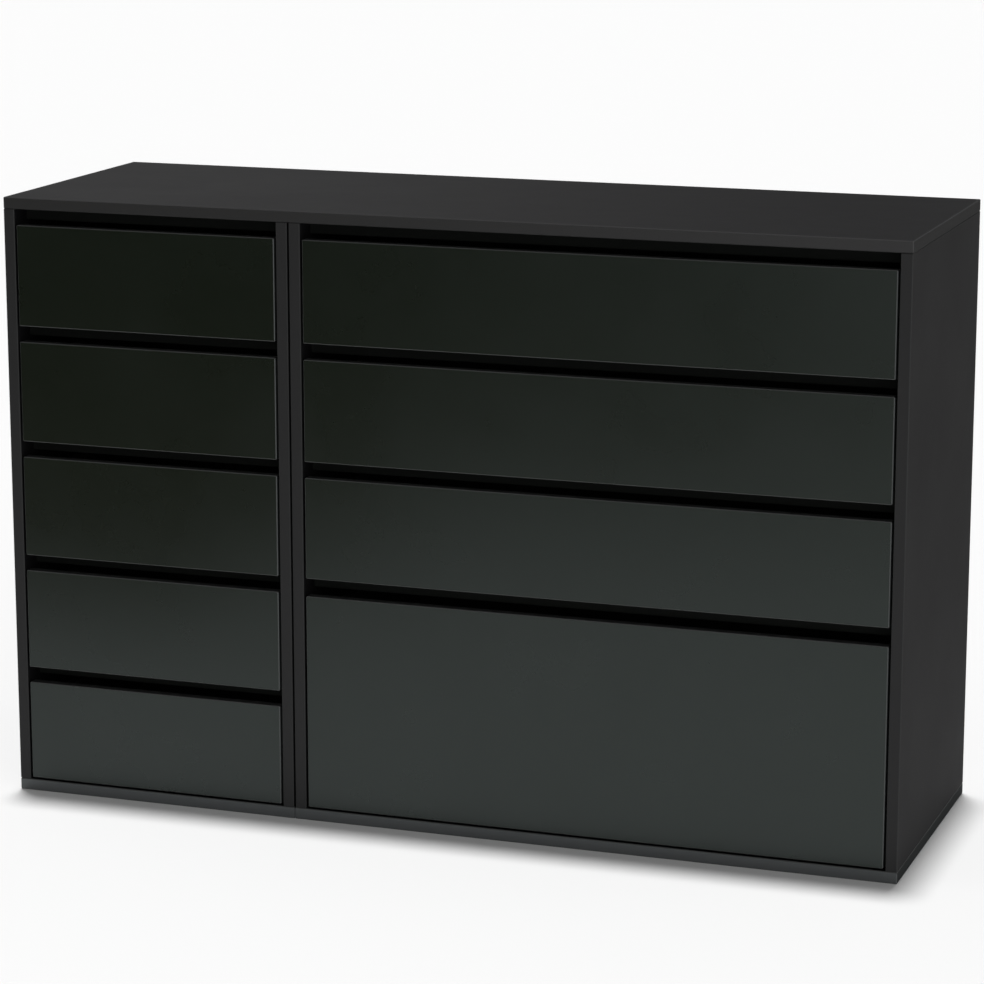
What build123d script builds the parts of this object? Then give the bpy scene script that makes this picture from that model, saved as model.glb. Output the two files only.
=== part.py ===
"""Storage chest: two joined bays with nine flush, handleless drawers, in black melamine board.

X runs across the chest, Y from the front (-) to the back (+) and Z up. The origin lies on the
floor, under the middle of the chest. All sizes are in millimetres.
"""
import os

from build123d import *

# Overall size and carcass boards
overall_width = 1200.0
overall_depth = 400.0
overall_height = 800.0
left_bay_width = 398.0
board = 15.0
back_thickness = 3.0
back_inset = 2.0
seam_gap = 2.6
edge_ease = 1.0

# Drawer fronts and the finger gaps above them
rows = 5
right_short_drawers = 3
finger_gap = 21.0
tall_finger_gap = 23.5
front_side_gap = 3.0
front_bottom_gap = 3.0

# Rails between the sides, behind the finger gaps
rail_thickness = 15.0
rail_depth = 60.0
rail_setback = 36.0

# Drawer boxes
box_back_gap = 22.0
box_wall = 12.0
box_lift = 10.0
box_drop = 22.0
panel_thickness = 3.0
groove_rise = 10.0
groove_depth = 5.0
groove_play = 0.2

# Steel slides: a channel on the cabinet side holds a smaller channel on the drawer side
slide_width = 12.7
slide_height = 38.0
slide_sheet = 1.5
slide_front_setback = 3.0
slide_back_setback = 7.0
slide_overlap = 90.0
running_gap = 0.4
channel_gap = 1.5
stop_gap = 0.3
catch_overlap = 1.2
catch_width = 12.0

# Screws that hold the cabinet channels to the sides
screw_radius = 1.75
screw_cover = 4.5
screw_head_radius = 3.2
screw_head_height = 1.2
screw_head_clearance = 0.6
screw_end_distance = 35.0
hole_play = 0.1

# Bolts and sleeve nuts that join the two bays
bolt_head_radius = 7.5
bolt_head_height = 2.0
bolt_radius = 2.0
sleeve_wall = 0.9
bolt_tip_gap = 6.0
bolt_rail_distance = 16.0
bolt_back_distance = 47.0

# Nails that hold the backs
nail_radius = 0.8
nail_length = 22.0
nail_head_radius = 2.2
nail_head_height = 0.8
nail_spacing = 125.0
nail_end_distance = 40.0

# Places that follow from the sizes above
left_end = -overall_width / 2
right_end = overall_width / 2
front_y = -overall_depth / 2
back_y = overall_depth / 2
carcass_depth = overall_depth - back_thickness
carcass_back = back_y - back_thickness
floor_of_bays = board
roof_of_bays = overall_height - board
bay_height = roof_of_bays - floor_of_bays
seam_x = left_end + left_bay_width

left_outer = (left_end, left_end + board)
left_inner = (seam_x - seam_gap / 2 - board, seam_x - seam_gap / 2)
right_inner = (seam_x + seam_gap / 2, seam_x + seam_gap / 2 + board)
right_outer = (right_end - board, right_end)
left_bay = (left_outer[1], left_inner[0])
right_bay = (right_inner[1], right_outer[0])

row_pitch = (bay_height - front_bottom_gap) / rows
front_height = row_pitch - finger_gap
lowest_front = floor_of_bays + front_bottom_gap
front_back = front_y + board
box_back = carcass_back - box_back_gap
box_length = box_back - front_back
slide_front = front_back + slide_front_setback
slide_back = box_back - slide_back_setback
slide_length = slide_back - slide_front
slide_travel = slide_length - slide_overlap
screw_depth = board - screw_cover
sleeve_radius = bolt_radius + hole_play + sleeve_wall


def middle(span):
    """The middle of a pair of limits."""
    return (span[0] + span[1]) / 2


def width(span):
    """The distance between a pair of limits."""
    return span[1] - span[0]


def spread(span, end_distance, spacing):
    """Even places along a span, about one spacing apart and clear of its ends."""
    reach = width(span) - 2 * end_distance
    count = max(1, round(reach / spacing))
    return [span[0] + end_distance + reach * step / count for step in range(count + 1)]


# Each front's lower and upper edge, from the top of its bay down
left_fronts = []
for row in range(rows):
    upper = roof_of_bays - row * row_pitch - finger_gap
    left_fronts.append((upper - front_height, upper))
right_fronts = left_fronts[:right_short_drawers]
right_fronts = right_fronts + [(lowest_front, right_fronts[-1][0] - tall_finger_gap)]


def gaps_above(fronts):
    """The finger gap over each front, up to the front or the top above it."""
    ceilings = [roof_of_bays] + [front[0] for front in fronts[:-1]]
    return [(front[1], ceiling) for front, ceiling in zip(fronts, ceilings)]


def box_span(front):
    """The lower and upper edge of the drawer box behind a front."""
    return (front[0] + box_lift, front[1] - box_drop)


def slide_heights(fronts):
    """The height of each drawer's slides, half way up the side of its box."""
    return [middle(box_span(front)) for front in fronts]


left_gaps = gaps_above(left_fronts)
right_gaps = gaps_above(right_fronts)
screw_ys = (slide_front + screw_end_distance, slide_back - screw_end_distance)
rail_back = front_y + rail_setback + rail_depth
bolt_ys = (rail_back + bolt_rail_distance, carcass_back - bolt_back_distance)
bolt_places = [(y, middle(gap)) for y in bolt_ys for gap in left_gaps[1::2]]

# Nails run up every side and along the bottoms and the top, behind each bay
side_nail_zs = spread((floor_of_bays, roof_of_bays), nail_end_distance, nail_spacing)
left_nail_xs = spread(left_bay, nail_end_distance, nail_spacing)
right_nail_xs = spread(right_bay, nail_end_distance, nail_spacing)
bottom_nail_z = board / 2
top_nail_z = overall_height - board / 2

os.makedirs("parts", exist_ok=True)


def save(piece, label):
    """Labels a finished piece and writes it to a file of that name."""
    piece.label = label
    export_step(piece, f"parts/{label}.step")


def level_board(span, underside, nail_xs):
    """A level carcass board with eased edges and nail holes in its back edge."""
    with BuildPart() as level:
        with BuildSketch(Plane.XY.offset(underside)):
            with Locations((middle(span), middle((front_y, carcass_back)))):
                Rectangle(width(span), carcass_depth)
        extrude(amount=board)
        chamfer(level.edges(), length=edge_ease)
        with BuildSketch(Plane.XZ.offset(-carcass_back)):
            with Locations([(x, underside + board / 2) for x in nail_xs]):
                Circle(nail_radius + hole_play)
        extrude(amount=nail_length, mode=Mode.SUBTRACT)
    return level.part


def side_board(span, bay_face, into_board, screw_zs, bolts):
    """An upright side: slide screw holes in its bay face, nail holes behind, bolt holes through."""
    with BuildPart() as side:
        with BuildSketch(Plane.XY.offset(floor_of_bays)):
            with Locations((middle(span), middle((front_y, carcass_back)))):
                Rectangle(board, carcass_depth)
        extrude(amount=bay_height)
        chamfer(side.edges(), length=edge_ease)
        with BuildSketch(Plane.YZ.offset(bay_face)):
            with Locations([(y, z) for y in screw_ys for z in screw_zs]):
                Circle(screw_radius + hole_play)
        extrude(amount=into_board * screw_depth, mode=Mode.SUBTRACT)
        with BuildSketch(Plane.XZ.offset(-carcass_back)):
            with Locations([(middle(span), z) for z in side_nail_zs]):
                Circle(nail_radius + hole_play)
        extrude(amount=nail_length, mode=Mode.SUBTRACT)
        if bolts:
            with BuildSketch(Plane.YZ.offset(bay_face)):
                with Locations(bolts):
                    Circle(sleeve_radius + hole_play)
            extrude(amount=into_board * board, mode=Mode.SUBTRACT)
    return side.part


# Carcass: two bottoms that meet at the seam, four sides and one long top
save(level_board((left_end, right_end), roof_of_bays, left_nail_xs + right_nail_xs), "top_panel")
save(level_board((left_end, seam_x), 0, left_nail_xs), "left_bottom")
save(level_board((seam_x, right_end), 0, right_nail_xs), "right_bottom")

left_slide_zs = slide_heights(left_fronts)
right_slide_zs = slide_heights(right_fronts)
save(side_board(left_outer, left_bay[0], -1, left_slide_zs, []), "left_outer_side")
save(side_board(left_inner, left_bay[1], 1, left_slide_zs, bolt_places), "left_inner_side")
save(side_board(right_inner, right_bay[0], -1, right_slide_zs, bolt_places), "right_inner_side")
save(side_board(right_outer, right_bay[1], 1, right_slide_zs, []), "right_outer_side")


def nail_places(sides, xs):
    """Where the nails of one back panel go: up both sides and along the bottom and the top."""
    uprights = [(middle(side), z) for side in sides for z in side_nail_zs]
    levels = [(x, z) for z in (bottom_nail_z, top_nail_z) for x in xs]
    return uprights + levels


def back_panel(span, nails):
    """A hardboard back, nailed over the back edges of one bay, with the nail heads sunk flush."""
    with BuildPart() as back:
        with BuildSketch(Plane.XZ.offset(-back_y)):
            with Locations((middle(span), overall_height / 2)):
                Rectangle(width(span), overall_height - 2 * back_inset)
        extrude(amount=back_thickness)
        with BuildSketch(Plane.XZ.offset(-back_y)):
            with Locations(nails):
                Circle(nail_head_radius + hole_play)
        extrude(amount=nail_head_height, mode=Mode.SUBTRACT)
        with BuildSketch(Plane.XZ.offset(-back_y)):
            with Locations(nails):
                Circle(nail_radius + hole_play)
        extrude(amount=back_thickness, mode=Mode.SUBTRACT)
    return back.part


left_nails = nail_places((left_outer, left_inner), left_nail_xs)
right_nails = nail_places((right_inner, right_outer), right_nail_xs)
save(back_panel((left_end + back_inset, seam_x - back_inset / 2), left_nails), "left_back")
save(back_panel((seam_x + back_inset / 2, right_end - back_inset), right_nails), "right_back")

# Nails, with their heads flush with the hardboard
with BuildPart() as back_nails:
    with BuildSketch(Plane.XZ.offset(-back_y)):
        with Locations(left_nails + right_nails):
            Circle(nail_head_radius)
    extrude(amount=nail_head_height)
    with BuildSketch(Plane.XZ.offset(-back_y)):
        with Locations(left_nails + right_nails):
            Circle(nail_radius)
    extrude(amount=nail_length)
save(back_nails.part, "back_nails")


def bay_rails(bay, gaps):
    """The rails of one bay, each between its sides and level with the middle of a finger gap."""
    with BuildPart() as rails:
        with BuildSketch(Plane.XZ.offset(-front_y - rail_setback)):
            with Locations([(middle(bay), middle(gap)) for gap in gaps]):
                Rectangle(width(bay), rail_thickness)
        extrude(amount=-rail_depth)
        chamfer(rails.edges().filter_by(Axis.X), length=edge_ease)
    return rails.part


save(bay_rails(left_bay, left_gaps), "left_front_rails")
save(bay_rails(right_bay, right_gaps), "right_front_rails")

# The bay faces that carry slides: where each is, which way its bay lies, and at what heights
slide_faces = [
    (left_bay[0], 1, left_slide_zs),
    (left_bay[1], -1, left_slide_zs),
    (right_bay[0], 1, right_slide_zs),
    (right_bay[1], -1, right_slide_zs),
]
cabinet_channel_depth = slide_width - slide_sheet - stop_gap
cabinet_channel_hollow = slide_height - 2 * slide_sheet
drawer_channel_depth = slide_width - slide_sheet - channel_gap
drawer_channel_height = cabinet_channel_hollow - 2 * running_gap
drawer_channel_hollow = drawer_channel_height - 2 * slide_sheet
cabinet_channel_back = slide_back + stop_gap
lug_room = screw_head_height + screw_head_clearance
lug_depth = slide_width - 2 * slide_sheet - lug_room
lug_front = slide_back - slide_sheet
catch_height = lug_room + catch_overlap
catch_back = lug_front - slide_travel - stop_gap


def across(depth, offset=0.0):
    """The middle of a slide feature of this depth in every channel, from the carcass side inwards."""
    places = []
    for face_x, into_bay, heights in slide_faces:
        places += [(face_x + into_bay * (offset + depth / 2), z) for z in heights]
    return places


# Cabinet channels, open towards the drawer, with a closed back end and a lanced catch
with BuildPart() as cabinet_runners:
    with BuildSketch(Plane.XZ.offset(-cabinet_channel_back)):
        with Locations(across(cabinet_channel_depth)):
            Rectangle(cabinet_channel_depth, slide_height)
        with Locations(across(cabinet_channel_depth, slide_sheet)):
            Rectangle(cabinet_channel_depth, cabinet_channel_hollow, mode=Mode.SUBTRACT)
    extrude(amount=cabinet_channel_back - slide_front)
    with BuildSketch(Plane.XZ.offset(-cabinet_channel_back)):
        with Locations(across(cabinet_channel_depth)):
            Rectangle(cabinet_channel_depth, slide_height)
    extrude(amount=-slide_sheet)
    with BuildSketch(Plane.XZ.offset(-catch_back)):
        with Locations(across(catch_height, slide_sheet)):
            Rectangle(catch_height, catch_width)
    extrude(amount=slide_sheet)
    for face_x, into_bay, heights in slide_faces:
        with BuildSketch(Plane.YZ.offset(face_x)):
            with Locations([(y, z) for y in screw_ys for z in heights]):
                Circle(screw_radius + hole_play)
        extrude(amount=into_bay * slide_sheet, mode=Mode.SUBTRACT)
save(cabinet_runners.part, "cabinet_runners")

# Screws through the cabinet channels into the sides
with BuildPart() as runner_screws:
    for face_x, into_bay, heights in slide_faces:
        places = [(y, z) for y in screw_ys for z in heights]
        with BuildSketch(Plane.YZ.offset(face_x + into_bay * slide_sheet)):
            with Locations(places):
                Circle(screw_radius)
        extrude(amount=-into_bay * (slide_sheet + screw_depth))
        with BuildSketch(Plane.YZ.offset(face_x + into_bay * slide_sheet)):
            with Locations(places):
                Circle(screw_head_radius)
        extrude(amount=into_bay * screw_head_height)
save(runner_screws.part, "runner_screws")

# Connectors: a flanged sleeve nut from the left bay takes a bolt from the right bay
with BuildPart() as bay_connectors:
    with BuildSketch(Plane.YZ.offset(left_bay[1])):
        with Locations(bolt_places):
            Circle(bolt_head_radius)
    extrude(amount=-bolt_head_height)
    with BuildSketch(Plane.YZ.offset(left_bay[1])):
        with Locations(bolt_places):
            Circle(sleeve_radius)
            Circle(bolt_radius + hole_play, mode=Mode.SUBTRACT)
    extrude(amount=right_bay[0] - left_bay[1] - stop_gap)
    with BuildSketch(Plane.YZ.offset(right_bay[0])):
        with Locations(bolt_places):
            Circle(bolt_head_radius)
    extrude(amount=bolt_head_height)
    with BuildSketch(Plane.YZ.offset(right_bay[0])):
        with Locations(bolt_places):
            Circle(bolt_radius)
    extrude(amount=left_bay[1] - right_bay[0] + bolt_tip_gap)
save(bay_connectors.part, "bay_connectors")


def drawer(name, bay, front_span):
    """One drawer: a flush front, two grooved sides, a back, a hardboard bottom and two runners."""
    front_x = (bay[0] + front_side_gap, bay[1] - front_side_gap)
    box_x = (bay[0] + slide_width, bay[1] - slide_width)
    inner_x = (box_x[0] + box_wall, box_x[1] - box_wall)
    box_z = box_span(front_span)
    panel_z = box_z[0] + groove_rise
    panel_top = panel_z + panel_thickness
    groove_height = panel_thickness + groove_play
    groove_middle = panel_z + groove_height / 2
    groove_width = width(inner_x) + 2 * groove_depth

    with BuildPart() as front:
        with BuildSketch(Plane.XZ.offset(-front_back)):
            with Locations((middle(front_x), middle(front_span))):
                Rectangle(width(front_x), width(front_span))
        extrude(amount=board)
        chamfer(front.edges(), length=edge_ease)
        with BuildSketch(Plane.XZ.offset(-front_back)):
            with Locations((middle(inner_x), groove_middle)):
                Rectangle(groove_width, groove_height)
        extrude(amount=groove_depth, mode=Mode.SUBTRACT)
    save(front.part, f"{name}_front")

    with BuildPart() as sides:
        with BuildSketch(Plane.XZ.offset(-box_back)):
            with Locations((middle(box_x), middle(box_z))):
                Rectangle(width(box_x), width(box_z))
                Rectangle(width(inner_x), width(box_z), mode=Mode.SUBTRACT)
            with Locations((middle(inner_x), groove_middle)):
                Rectangle(groove_width, groove_height, mode=Mode.SUBTRACT)
        extrude(amount=box_length)
        chamfer(sides.edges().filter_by(Axis.Y).group_by(Axis.Z)[-1], length=edge_ease)
    save(sides.part, f"{name}_sides")

    with BuildPart() as back:
        with BuildSketch(Plane.XZ.offset(-box_back)):
            with Locations((middle(inner_x), middle((panel_top, box_z[1])))):
                Rectangle(width(inner_x), width((panel_top, box_z[1])))
        extrude(amount=box_wall)
        chamfer(back.edges().filter_by(Axis.X).group_by(Axis.Z)[-1], length=edge_ease)
    save(back.part, f"{name}_back")

    with BuildPart() as bottom:
        with BuildSketch(Plane.XY.offset(panel_z)):
            with Locations((middle(inner_x), middle((front_back - groove_depth + groove_play, box_back)))):
                Rectangle(groove_width - 2 * groove_play, box_length + groove_depth - groove_play)
        extrude(amount=panel_thickness)
    save(bottom.part, f"{name}_bottom")

    slide_z = middle(box_z)
    with BuildPart() as runners:
        with BuildSketch(Plane.XZ.offset(-slide_back)):
            with Locations(
                (box_x[0] - drawer_channel_depth / 2, slide_z),
                (box_x[1] + drawer_channel_depth / 2, slide_z),
            ):
                Rectangle(drawer_channel_depth, drawer_channel_height)
            with Locations(
                (box_x[0] - slide_sheet - drawer_channel_depth / 2, slide_z),
                (box_x[1] + slide_sheet + drawer_channel_depth / 2, slide_z),
            ):
                Rectangle(drawer_channel_depth, drawer_channel_hollow, mode=Mode.SUBTRACT)
        extrude(amount=slide_length)
        with BuildSketch(Plane.XZ.offset(-slide_back)):
            with Locations(
                (box_x[0] - slide_sheet - lug_depth / 2, slide_z),
                (box_x[1] + slide_sheet + lug_depth / 2, slide_z),
            ):
                Rectangle(lug_depth, drawer_channel_hollow)
        extrude(amount=slide_sheet)
    save(runners.part, f"{name}_runners")


# Drawers, numbered from the top of each bay
for number, front_span in enumerate(left_fronts, 1):
    drawer(f"left_drawer_{number}", left_bay, front_span)
for number, front_span in enumerate(right_fronts, 1):
    drawer(f"right_drawer_{number}", right_bay, front_span)
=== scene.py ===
"""Looks of the storage chest: two joined bays of black melamine board with nine flush drawers."""
import math

import bmesh
import bpy
from mathutils import Matrix, Vector


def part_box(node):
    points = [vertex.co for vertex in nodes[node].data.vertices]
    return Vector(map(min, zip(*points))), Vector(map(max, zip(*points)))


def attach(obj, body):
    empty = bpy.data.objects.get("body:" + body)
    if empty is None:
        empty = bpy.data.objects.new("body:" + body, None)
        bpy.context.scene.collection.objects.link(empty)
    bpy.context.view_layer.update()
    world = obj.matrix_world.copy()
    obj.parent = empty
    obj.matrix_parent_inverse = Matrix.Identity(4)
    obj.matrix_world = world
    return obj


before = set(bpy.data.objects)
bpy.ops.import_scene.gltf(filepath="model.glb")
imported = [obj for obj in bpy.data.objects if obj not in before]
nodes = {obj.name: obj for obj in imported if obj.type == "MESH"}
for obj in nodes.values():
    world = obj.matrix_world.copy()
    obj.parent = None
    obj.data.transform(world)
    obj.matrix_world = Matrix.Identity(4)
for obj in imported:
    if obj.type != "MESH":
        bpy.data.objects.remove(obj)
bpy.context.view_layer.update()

# Uprights: four sides of 15 mm chipboard, faced with satin black melamine on both sides.
# Their cut edges are covered with a plastic band, a little greyer than the faces,
# and the band is trimmed to an eased arris, painted paler as a painted highlight.
carcass_black = ((0.0080, 0.0078, 0.0084, 1.0), (0.0090, 0.0088, 0.0094, 1.0))
band_black = (0.031, 0.031, 0.0315, 1.0)
# Paler arris colour: a painted highlight along the eased edge.
arris_painted_highlight_grey = (0.042, 0.043, 0.043, 1.0)
end_black = (0.010, 0.0105, 0.0105, 1.0)
end_matt = 0.95
sheen_plain = (1.0, 0.985, 1.0, 1.0)
square_on, slantwise = 0.9, 0.3
cloud_scale, cloud_low, cloud_high = 40.0, 0.35, 0.65
smudge_scale, smudge_low, smudge_high = 7.0, 0.3, 0.7
smudge_shine, smudge_dull = 0.02, 0.03
pearl_scale, pearl_strength, pearl_depth = 1500.0, 0.05, 0.00006
upright_nodes = ["left_outer_side", "left_inner_side", "right_inner_side", "right_outer_side"]


def add(tree, kind, **settings):
    """A new node of this kind in a material's tree, with its settings."""
    node = tree.nodes.new(kind)
    for key, value in settings.items():
        setattr(node, key, value)
    return node


def noise(tree, place, scale, detail=3.0, roughness=0.55):
    """A noise pattern on the piece's own place, in metres."""
    pattern = add(tree, "ShaderNodeTexNoise")
    pattern.inputs["Scale"].default_value = scale
    pattern.inputs["Detail"].default_value = detail
    pattern.inputs["Roughness"].default_value = roughness
    tree.links.new(place, pattern.inputs["Vector"])
    return pattern.outputs["Fac"]


def ranged(tree, value, low, high, out_low, out_high, smooth=False):
    """The value taken from one range to another."""
    step = add(tree, "ShaderNodeMapRange")
    step.interpolation_type = "SMOOTHSTEP" if smooth else "LINEAR"
    step.inputs["From Min"].default_value = low
    step.inputs["From Max"].default_value = high
    step.inputs["To Min"].default_value = out_low
    step.inputs["To Max"].default_value = out_high
    tree.links.new(value, step.inputs["Value"])
    return step.outputs["Result"]


def calculated(tree, operation, first, second):
    """One sum of two values, either of which may be a plain number."""
    sum_node = add(tree, "ShaderNodeMath", operation=operation)
    for socket, value in zip(sum_node.inputs, (first, second)):
        if isinstance(value, (int, float)):
            socket.default_value = value
        else:
            tree.links.new(value, socket)
    return sum_node.outputs["Value"]


def two_colours(tree, share, first, second):
    """A mix of two colours, either of which may come from another node."""
    mix = add(tree, "ShaderNodeMix", data_type="RGBA")
    tree.links.new(share, mix.inputs["Factor"])
    for socket, value in ((mix.inputs[6], first), (mix.inputs[7], second)):
        if isinstance(value, tuple):
            socket.default_value = value
        else:
            tree.links.new(value, socket)
    return mix.outputs[2]


def roughened(tree, height, shader, strength, distance):
    """Small bumps on a surface."""
    bump = add(tree, "ShaderNodeBump")
    bump.inputs["Strength"].default_value = strength
    bump.inputs["Distance"].default_value = distance
    tree.links.new(height, bump.inputs["Height"])
    tree.links.new(bump.outputs["Normal"], shader.inputs["Normal"])


def new_material(name):
    """An empty finish: its node tree, its shader and its place on the piece."""
    material = bpy.data.materials.new(name)
    material.use_nodes = True
    tree = material.node_tree
    shader = tree.nodes["Principled BSDF"]
    place = add(tree, "ShaderNodeTexCoord")
    return material, tree, shader, place


def melamine(name, flat_axis, faces, matt, band_matt, specular, sheen, band_colour, arris_painted_light, worn_matt=0.0):
    """Black melamine on the faces that look along flat_axis, and edge band on all others.

    The arrises between them take a colour that paints light on them, paler as a painted highlight
    or darker as painted shade, and are no glossier than worn_matt.
    """
    material, tree, shader, place = new_material(name)
    directions = add(tree, "ShaderNodeSeparateXYZ")
    tree.links.new(place.outputs["Normal"], directions.inputs["Vector"])
    along = calculated(tree, "ABSOLUTE", directions.outputs[flat_axis], 0.0)
    band = calculated(tree, "LESS_THAN", along, square_on)
    arris = calculated(tree, "MULTIPLY", band, calculated(tree, "GREATER_THAN", along, slantwise))
    sideways = calculated(tree, "ABSOLUTE", directions.outputs["X"], 0.0)
    end = calculated(tree, "MULTIPLY", band, calculated(tree, "GREATER_THAN", sideways, square_on))
    spot = place.outputs["Object"]
    cloud = ranged(tree, noise(tree, spot, cloud_scale, 4.0), cloud_low, cloud_high, 0.0, 1.0)
    face_colour = two_colours(tree, cloud, *faces)
    colour = two_colours(tree, band, face_colour, band_colour)
    # The arrises get a paler or darker colour here: painted highlight or painted shade.
    colour = two_colours(tree, arris, colour, arris_painted_light)
    colour = two_colours(tree, end, colour, end_black)
    tree.links.new(colour, shader.inputs["Base Color"])
    smudge = noise(tree, spot, smudge_scale, 5.0)
    gloss = ranged(tree, smudge, smudge_low, smudge_high, matt - smudge_shine, matt + smudge_dull)
    band_part = calculated(tree, "MULTIPLY", band, ranged(tree, end, 0.0, 1.0, band_matt, end_matt))
    face_part = calculated(tree, "MULTIPLY", calculated(tree, "SUBTRACT", 1.0, band), gloss)
    roughness = calculated(tree, "ADD", band_part, face_part)
    roughness = calculated(tree, "MAXIMUM", roughness, calculated(tree, "MULTIPLY", arris, worn_matt))
    tree.links.new(roughness, shader.inputs["Roughness"])
    shader.inputs["Specular IOR Level"].default_value = specular
    shader.inputs["Specular Tint"].default_value = sheen
    roughened(tree, noise(tree, spot, pearl_scale, 2.0), shader, pearl_strength, pearl_depth)
    return material


def dress(names, material):
    """Gives these pieces of the frame a finish."""
    for name in names:
        for slot in nodes[name].material_slots:
            slot.material = material


upright_finish = melamine(
    "melamine_upright",
    "X",
    faces=carcass_black,
    matt=0.70,
    band_matt=0.64,
    specular=0.10,
    sheen=sheen_plain,
    band_colour=band_black,
    arris_painted_light=arris_painted_highlight_grey,
)
dress(upright_nodes, upright_finish)

# Level boards: one long top over both bays, and a bottom board under each bay.
# The same melamine chipboard, with a duller tape on its ends. The top's arrises are rubbed dull and
# painted darker, as painted shade; the bottoms' bands and arrises are painted paler, as painted light.
level_matt, level_band_matt, level_specular = 0.32, 0.36, 0.40
band_top = (0.032, 0.032, 0.0325, 1.0)
# Paler band on the bottoms: painted light, standing in for the lit floor in front of them.
bottom_band_painted_light = (0.082, 0.086, 0.088, 1.0)
# Darker arris on the top: painted shade that keeps its arris line dim.
top_arris_painted_shade = (0.020, 0.020, 0.0205, 1.0)
# Paler arris on the bottoms and the fronts: a painted highlight.
arris_painted_highlight = (0.075, 0.077, 0.076, 1.0)
sheen_cool = (0.89, 0.985, 1.0, 1.0)
top_finish = melamine(
    "melamine_top",
    "Z",
    faces=carcass_black,
    matt=level_matt,
    band_matt=level_band_matt,
    specular=level_specular,
    sheen=sheen_plain,
    band_colour=band_top,
    arris_painted_light=top_arris_painted_shade,
    worn_matt=0.85,
)
bottom_finish = melamine(
    "melamine_bottom",
    "Z",
    faces=carcass_black,
    matt=level_matt,
    band_matt=level_band_matt,
    specular=level_specular,
    sheen=sheen_cool,
    band_colour=bottom_band_painted_light,
    arris_painted_light=arris_painted_highlight,
)
dress(["top_panel"], top_finish)
dress(["left_bottom", "right_bottom"], bottom_finish)

# Front rails: narrow stretchers doweled between the uprights behind the finger gaps.
# Plain offcuts of the board, dull, with their edges painted deep black as painted shade,
# so that the gaps read as dark lines.
# Deep black rail edges: painted shade in the recess behind the finger gaps.
rail_painted_shade = (0.012, 0.0135, 0.012, 1.0)
rail_finish = melamine(
    "melamine_rail",
    "Z",
    faces=carcass_black,
    matt=0.60,
    band_matt=0.70,
    specular=0.12,
    sheen=sheen_plain,
    band_colour=rail_painted_shade,
    arris_painted_light=rail_painted_shade,
)
dress(["left_front_rails", "right_front_rails"], rail_finish)

# Backs: two sheets of 3 mm hardboard, nailed over the back edges of the carcass.
# Pressed wood fibre, stained dark, with its flecks and the soft print of the press screen.
hardboard_dark = (0.040, 0.034, 0.029, 1.0)
hardboard_pale = (0.075, 0.063, 0.053, 1.0)
hardboard_fleck = (0.024, 0.020, 0.017, 1.0)
hardboard_smooth, hardboard_rough = 0.62, 0.78
hardboard_specular = 0.4
fibre_scale, fibre_low, fibre_high = 90.0, 0.35, 0.68
fibre_grain = 0.65
fleck_scale, fleck_low, fleck_high, fleck_share = 420.0, 0.60, 0.72, 0.8
screen_scale, screen_strength, screen_depth = 520.0, 0.25, 0.0002
back_stretch = (1.0, 1.0, 3.5)


def hardboard(name, stretch):
    """Pressed wood fibre, with flecks drawn out along the sheet."""
    material, tree, shader, place = new_material(name)
    drawn_out = add(tree, "ShaderNodeMapping")
    drawn_out.inputs["Scale"].default_value = stretch
    tree.links.new(place.outputs["Object"], drawn_out.inputs["Vector"])
    spot = drawn_out.outputs["Vector"]
    fibre = ranged(tree, noise(tree, spot, fibre_scale, 6.0, fibre_grain), fibre_low, fibre_high, 0.0, 1.0)
    fleck = ranged(tree, noise(tree, spot, fleck_scale, 2.0), fleck_low, fleck_high, 0.0, fleck_share)
    colour = two_colours(tree, fibre, hardboard_dark, hardboard_pale)
    colour = two_colours(tree, fleck, colour, hardboard_fleck)
    tree.links.new(colour, shader.inputs["Base Color"])
    gloss = ranged(tree, fibre, 0.0, 1.0, hardboard_smooth, hardboard_rough)
    tree.links.new(gloss, shader.inputs["Roughness"])
    shader.inputs["Specular IOR Level"].default_value = hardboard_specular
    screen = noise(tree, place.outputs["Object"], screen_scale, 2.0)
    roughened(tree, screen, shader, screen_strength, screen_depth)
    return material


dress(["left_back", "right_back"], hardboard("hardboard_back", back_stretch))

# Fasteners: zinc plated steel nails along the backs, the bolts and sleeve nuts that pull the two
# inner uprights together, and the screws of the cabinet runners.
fastener_grey = (0.50, 0.50, 0.50, 1.0)
fastener_warm = (0.56, 0.54, 0.49, 1.0)
fastener_lines = (700.0, 700.0, 700.0)
fastener_gloss = 0.34
plating_scale, plating_low, plating_high = 60.0, 0.35, 0.65
line_low, line_high = 0.3, 0.7
line_shine, line_dull = 0.06, 0.08
line_strength, line_depth = 0.12, 0.00005


def plated_steel(name, base, tint, streak, gloss):
    """Zinc plated steel, with clouds of tint and fine drawing lines along the piece."""
    material, tree, shader, place = new_material(name)
    spot = place.outputs["Object"]
    cloud = ranged(tree, noise(tree, spot, plating_scale, 4.0), plating_low, plating_high, 0.0, 1.0)
    tree.links.new(two_colours(tree, cloud, base, tint), shader.inputs["Base Color"])
    shader.inputs["Metallic"].default_value = 1.0
    drawn = add(tree, "ShaderNodeMapping")
    drawn.inputs["Scale"].default_value = streak
    tree.links.new(spot, drawn.inputs["Vector"])
    lines = noise(tree, drawn.outputs["Vector"], 1.0, 3.0)
    worn_gloss = ranged(tree, lines, line_low, line_high, gloss - line_shine, gloss + line_dull)
    tree.links.new(worn_gloss, shader.inputs["Roughness"])
    roughened(tree, lines, shader, line_strength, line_depth)
    return material


fastener_finish = plated_steel(
    "fastener_zinc", fastener_grey, fastener_warm, fastener_lines, fastener_gloss
)
dress(["back_nails", "bay_connectors", "runner_screws"], fastener_finish)

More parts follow.
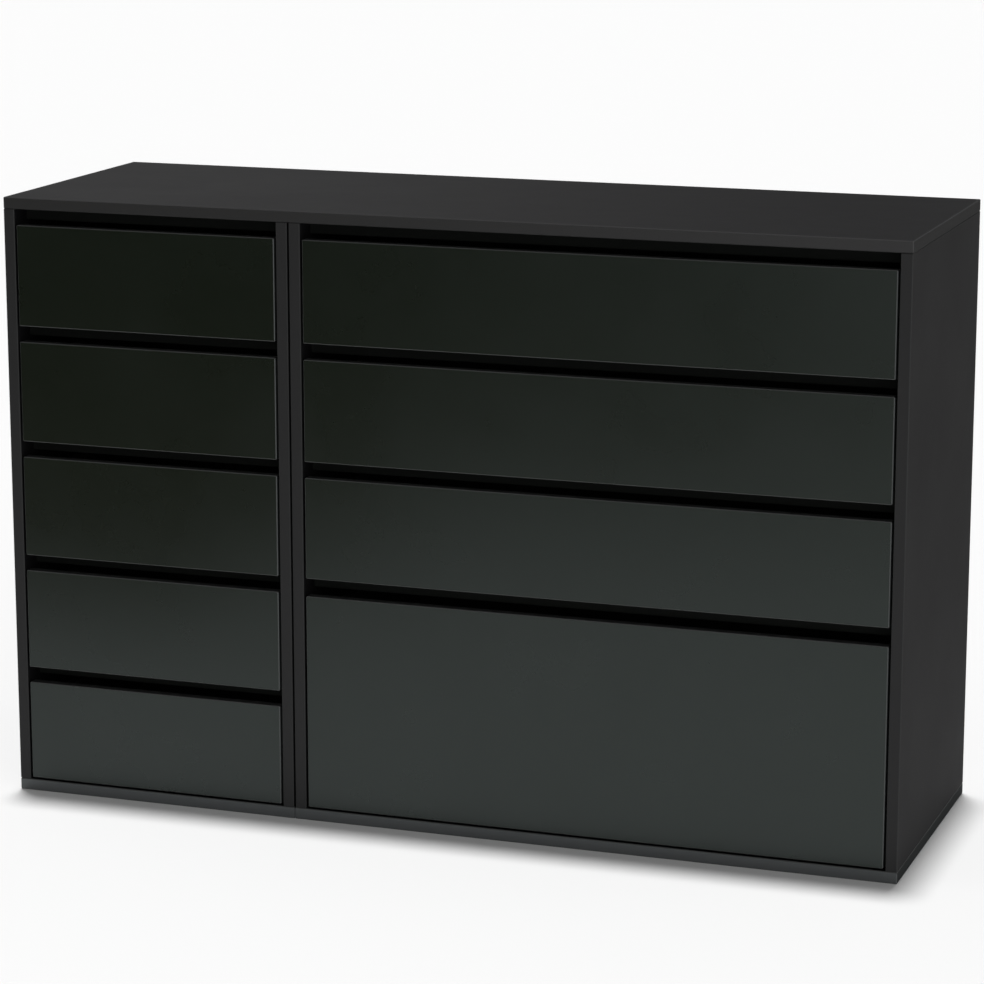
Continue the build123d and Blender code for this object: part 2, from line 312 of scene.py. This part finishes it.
# Cabinet runners: rolled steel channels screwed to the uprights, one pair for each drawer.
# Black zinc, so that their ends stay dark in the gaps beside the fronts, with the lines of the
# rolling along their length.
runner_black = (0.030, 0.031, 0.033, 1.0)
runner_blue = (0.024, 0.026, 0.030, 1.0)
runner_gloss = 0.42
rolling = (1600.0, 18.0, 1600.0)
runner_finish = plated_steel("runner_black_zinc", runner_black, runner_blue, rolling, runner_gloss)
dress(["cabinet_runners"], runner_finish)

# Drawers: each has a flush melamine front, two sides and a back of thin board in black foil,
# a hardboard bottom let into grooves, and two bright zinc channels that run in the cabinet's.
drawer_names = [f"left_drawer_{n}" for n in range(1, 6)] + [f"right_drawer_{n}" for n in range(1, 5)]
front_black = ((0.0070, 0.0098, 0.0060, 1.0), (0.0080, 0.0108, 0.0068, 1.0))
foil_black = (0.020, 0.020, 0.021, 1.0)
foil_black_worn = (0.030, 0.030, 0.031, 1.0)
foil_scale, foil_low, foil_high = 55.0, 0.35, 0.7
foil_smooth, foil_rough = 0.50, 0.58
foil_specular = 0.4
grain_scale, grain_strength, grain_depth = 900.0, 0.15, 0.0001
bottom_stretch = (3.5, 1.0, 1.0)
slide_grey = (0.55, 0.56, 0.57, 1.0)
slide_blue = (0.50, 0.53, 0.57, 1.0)
slide_gloss = 0.30


def foil(name):
    """Matt black printed foil, with a fine leathery grain."""
    material, tree, shader, place = new_material(name)
    spot = place.outputs["Object"]
    cloud = ranged(tree, noise(tree, spot, foil_scale, 5.0), foil_low, foil_high, 0.0, 1.0)
    tree.links.new(two_colours(tree, cloud, foil_black, foil_black_worn), shader.inputs["Base Color"])
    tree.links.new(ranged(tree, cloud, 0.0, 1.0, foil_smooth, foil_rough), shader.inputs["Roughness"])
    shader.inputs["Specular IOR Level"].default_value = foil_specular
    roughened(tree, noise(tree, spot, grain_scale, 3.0), shader, grain_strength, grain_depth)
    return material


# The fronts' arrises take the paler arris colour, a painted highlight.
front_finish = melamine(
    "melamine_front",
    "Y",
    faces=front_black,
    matt=0.28,
    band_matt=0.36,
    specular=0.48,
    sheen=sheen_cool,
    band_colour=band_black,
    arris_painted_light=arris_painted_highlight,
)
dress([name + "_front" for name in drawer_names], front_finish)
dress([name + part for name in drawer_names for part in ("_sides", "_back")], foil("box_foil"))
dress([name + "_bottom" for name in drawer_names], hardboard("hardboard_bottom", bottom_stretch))
slide_finish = plated_steel("slide_zinc", slide_grey, slide_blue, rolling, slide_gloss)
dress([name + "_runners" for name in drawer_names], slide_finish)

# Drawer channel screws: three pan-head screws hold each drawer channel to its drawer side.
# The heads lie in the channel's hollow, and show when the drawer is pulled out.
channel_sheet = 0.0015
head_radius = 0.0032
head_height = 0.0013
head_round = 0.0006
head_segments, round_segments = 24, 3
rim_share = 0.9
recess_rim = 0.0008
recess_notch, recess_arm, recess_split = 0.42, 0.92, 0.80
recess_taper, recess_depth = 0.6, 0.6
screw_shares = (0.10, 0.50, 0.90)


def pan_head(mesh, middle, outward):
    """One rounded screw head with a cross recess, its back on middle, looking outward along X."""
    turn = Matrix.Rotation(math.radians(90.0 * outward), 4, "Y")
    made = bmesh.ops.create_cone(
        mesh,
        cap_ends=True,
        segments=head_segments,
        radius1=head_radius,
        radius2=head_radius,
        depth=head_height,
    )["verts"]
    bmesh.ops.translate(mesh, verts=made, vec=(0.0, 0.0, head_height / 2))
    rim_level = head_height * rim_share
    rim = [e for v in made for e in v.link_edges if all(x.co.z > rim_level for x in e.verts)]
    rounded = bmesh.ops.bevel(
        mesh,
        geom=list(set(rim)),
        offset=head_round,
        affect="EDGES",
        segments=round_segments,
        profile=0.5,
        material=-1,
    )
    mine = [v for v in set(made) | set(rounded["verts"]) if v.is_valid]
    crown = max((f for v in mine for f in v.link_faces), key=lambda f: f.calc_center_median().z)
    ring = bmesh.ops.inset_individual(mesh, faces=[crown], thickness=recess_rim)["faces"]
    for vert in crown.verts:
        angle = math.atan2(vert.co.y, vert.co.x)
        pinch = recess_notch if abs(math.cos(2 * angle)) < recess_split else recess_arm
        vert.co.x *= pinch
        vert.co.y *= pinch
    sunk = bmesh.ops.extrude_discrete_faces(mesh, faces=[crown])["faces"]
    for face in sunk:
        bmesh.ops.scale(mesh, verts=face.verts, vec=(recess_taper, recess_taper, 1.0))
        bmesh.ops.translate(mesh, verts=face.verts, vec=(0.0, 0.0, -head_height * recess_depth))
    linked = set(mine)
    for face in list(ring) + list(sunk):
        linked |= set(face.verts)
    bmesh.ops.transform(mesh, matrix=Matrix.Translation(middle) @ turn, verts=list(linked))


def channel_screws(name):
    """The screws of one drawer's two channels."""
    low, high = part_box(name + "_runners")
    side_low, side_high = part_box(name + "_sides")
    height = (low.z + high.z) / 2
    mesh = bmesh.new()
    for share in screw_shares:
        y = low.y + (high.y - low.y) * share
        pan_head(mesh, Vector((side_low.x - channel_sheet, y, height)), -1)
        pan_head(mesh, Vector((side_high.x + channel_sheet, y, height)), 1)
    data = bpy.data.meshes.new(name + "_channel_screws")
    bmesh.ops.recalc_face_normals(mesh, faces=mesh.faces)
    mesh.to_mesh(data)
    mesh.free()
    data.materials.append(fastener_finish)
    piece = bpy.data.objects.new(name + "_channel_screws", data)
    bpy.context.scene.collection.objects.link(piece)
    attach(piece, name)


for drawer_name in drawer_names:
    channel_screws(drawer_name)

# Studio floor: wide and pale, running to the horizon. Two soft dark fields on it are painted shade,
# in place of black studio flags, for the fronts and the right side to mirror. They lie outside the main
# view and, with the drawers shut, the front and side views and the low view from behind.
floor_half = 150.0
floor_pale = (0.80, 0.80, 0.80, 1.0)
# Colours of the painted shade fields: olive nearer the chest, darker further out in front.
painted_shade_dark = (0.026, 0.034, 0.020, 1.0)
painted_shade_olive = (0.050, 0.042, 0.014, 1.0)
painted_shade_olive_end, painted_shade_dark_start = -2.6, -3.8
view_slope = 0.143
front_view_edge, front_view_clear = 0.80, 0.98
front_view_end, front_view_past = -1.97, -2.15
side_view_edge, side_view_clear = 0.82, 1.05
back_view_slant = (0.8, 0.6)
back_view_edge, back_view_clear = -0.77, -0.98
painted_shade_slant = (0.95, -0.3)
painted_shade_open, painted_shade_full = 1.72, 0.55
side_shade_near, side_shade_far = 0.76, 1.02
side_shade_start, side_shade_full = 0.70, 1.15
side_shade_last, side_shade_end = 1.8, 3.0

floor_mesh = bmesh.new()
bmesh.ops.create_grid(floor_mesh, x_segments=1, y_segments=1, size=floor_half)
floor_data = bpy.data.meshes.new("studio_floor")
floor_mesh.to_mesh(floor_data)
floor_mesh.free()
floor = bpy.data.objects.new("studio_floor", floor_data)
bpy.context.scene.collection.objects.link(floor)
floor_finish, tree, shader, place = new_material("floor_paper")
spot = add(tree, "ShaderNodeSeparateXYZ")
tree.links.new(place.outputs["Object"], spot.inputs["Vector"])
across, along = spot.outputs["X"], spot.outputs["Y"]


def leaning(x_share, y_share):
    """A coordinate that runs slantwise over the floor."""
    x_part = calculated(tree, "MULTIPLY", across, x_share)
    return calculated(tree, "ADD", x_part, calculated(tree, "MULTIPLY", along, y_share))


def rising(value, start, end):
    """A smooth rise from nothing at start to all at end."""
    return ranged(tree, value, start, end, 0.0, 1.0, True)


# Where the painted shade lies: one field to the left and far in front, one to the right and behind.
left_of_view = rising(leaning(-1.0, -view_slope), front_view_edge, front_view_clear)
short_of_view = rising(along, front_view_end, front_view_past)
front_painted_shade = calculated(tree, "MAXIMUM", left_of_view, short_of_view)
for slant, start, end in (
    (leaning(view_slope, -1.0), side_view_edge, side_view_clear),
    (leaning(*back_view_slant), back_view_edge, back_view_clear),
    (leaning(*painted_shade_slant), painted_shade_open, painted_shade_full),
):
    front_painted_shade = calculated(tree, "MULTIPLY", front_painted_shade, rising(slant, start, end))
side_painted_shade = rising(leaning(1.0, -view_slope), side_shade_near, side_shade_far)
side_painted_shade = calculated(tree, "MULTIPLY", side_painted_shade, rising(along, side_shade_start, side_shade_full))
side_painted_shade = calculated(tree, "MULTIPLY", side_painted_shade, rising(along, side_shade_end, side_shade_last))
painted_shade_fields = calculated(tree, "MAXIMUM", front_painted_shade, side_painted_shade)
painted_shade_colour = two_colours(tree, rising(along, painted_shade_dark_start, painted_shade_olive_end), painted_shade_dark, painted_shade_olive)
tree.links.new(two_colours(tree, painted_shade_fields, floor_pale, painted_shade_colour), shader.inputs["Base Color"])
shader.inputs["Roughness"].default_value = 1.0
shader.inputs["Specular IOR Level"].default_value = 0.0
floor_data.materials.append(floor_finish)

# Studio surroundings: a pale band at the horizon on the far side, a tall pale screen on the left
# and on the right, dim walls between them, and a soft ceiling. Behind the camera it is dark on the
# left and lit on the right. Each pair of limits below is a share of the viewing direction.
horizon_pale = 0.965
horizon_low, horizon_high = 0.095, 0.125
horizon_half, horizon_past = 0.150, 0.185
screen_start, screen_full = 0.72, 0.84
screen_low, screen_high = 0.30, 0.50
wall_dim, wall_lit = 0.05, 0.12
wall_left, wall_right = -0.42, -0.20
far_start, far_full = -0.75, -0.25
room_dark, room_lit = 0.005, 0.75
room_left, room_right = -0.36, 0.25
ceiling_level = 0.15
ceiling_start, ceiling_full = 0.60, 0.85
world = bpy.data.worlds.new("studio")
bpy.context.scene.world = world
world.use_nodes = True
tree = world.node_tree
background = tree.nodes["Background"]
looking = add(tree, "ShaderNodeSeparateXYZ")
tree.links.new(add(tree, "ShaderNodeTexCoord").outputs["Generated"], looking.inputs["Vector"])
look_x, look_y, look_z = looking.outputs
wall = ranged(tree, look_x, wall_left, wall_right, wall_lit, wall_dim, True)
far_side = rising(look_y, far_start, far_full)
near_side = calculated(tree, "SUBTRACT", 1.0, far_side)
room = ranged(tree, look_x, room_left, room_right, room_dark, room_lit, True)
room = calculated(tree, "MULTIPLY", room, near_side)
wall = calculated(tree, "ADD", calculated(tree, "MULTIPLY", wall, far_side), room)
horizon = ranged(tree, look_z, horizon_low, horizon_high, horizon_pale, 0.0, True)
horizon = calculated(tree, "MULTIPLY", horizon, far_side)
sideways = calculated(tree, "ABSOLUTE", look_x, 0.0)
middle_share = ranged(tree, sideways, horizon_half, horizon_past, 1.0, 0.0, True)
horizon = calculated(tree, "MULTIPLY", horizon, middle_share)
screens = ranged(tree, look_z, screen_low, screen_high, horizon_pale, 0.0, True)
screens = calculated(tree, "MULTIPLY", rising(sideways, screen_start, screen_full), screens)
bright = calculated(tree, "MAXIMUM", horizon, screens)
ceiling = ranged(tree, look_z, ceiling_start, ceiling_full, 0.0, ceiling_level, True)
light = calculated(tree, "ADD", calculated(tree, "MAXIMUM", wall, bright), ceiling)
tree.links.new(light, background.inputs["Strength"])
background.inputs["Color"].default_value = (1.0, 1.0, 1.0, 1.0)

# Key light: one soft lamp high overhead and a little behind, so that the shadow in front of the
# chest stays short and close.
key_energy = 3.02
key_spread = 4.8
key_tilt, key_roll = -3.55, -1.5
key_data = bpy.data.lights.new("overhead_key", "SUN")
key_data.energy = key_energy
key_data.angle = math.radians(key_spread)
key = bpy.data.objects.new("overhead_key", key_data)
key.rotation_euler = (math.radians(key_tilt), math.radians(key_roll), 0.0)
bpy.context.scene.collection.objects.link(key)

# Camera: at the photograph's viewing angle, from the right and a little above the top.
# The focal length was fitted in pixels of the picture's width.
sensor_width = 36.0
picture_width = 984.0
focal_length = 3449.65
camera_place = (1.46505, -4.18874, 1.38980)
camera_dip, camera_turn = 0.2172, 0.3362
sight_end = 1000.0
camera_data = bpy.data.cameras.new("camera")
camera_data.sensor_width = sensor_width
camera_data.sensor_fit = "HORIZONTAL"
camera_data.lens = focal_length * sensor_width / picture_width
camera_data.clip_end = sight_end
camera = bpy.data.objects.new("camera", camera_data)
camera.location = camera_place
camera.rotation_euler = (math.pi / 2 - camera_dip, 0.0, camera_turn)
bpy.context.scene.collection.objects.link(camera)
bpy.context.scene.camera = camera
bpy.context.scene.view_settings.view_transform = "Standard"
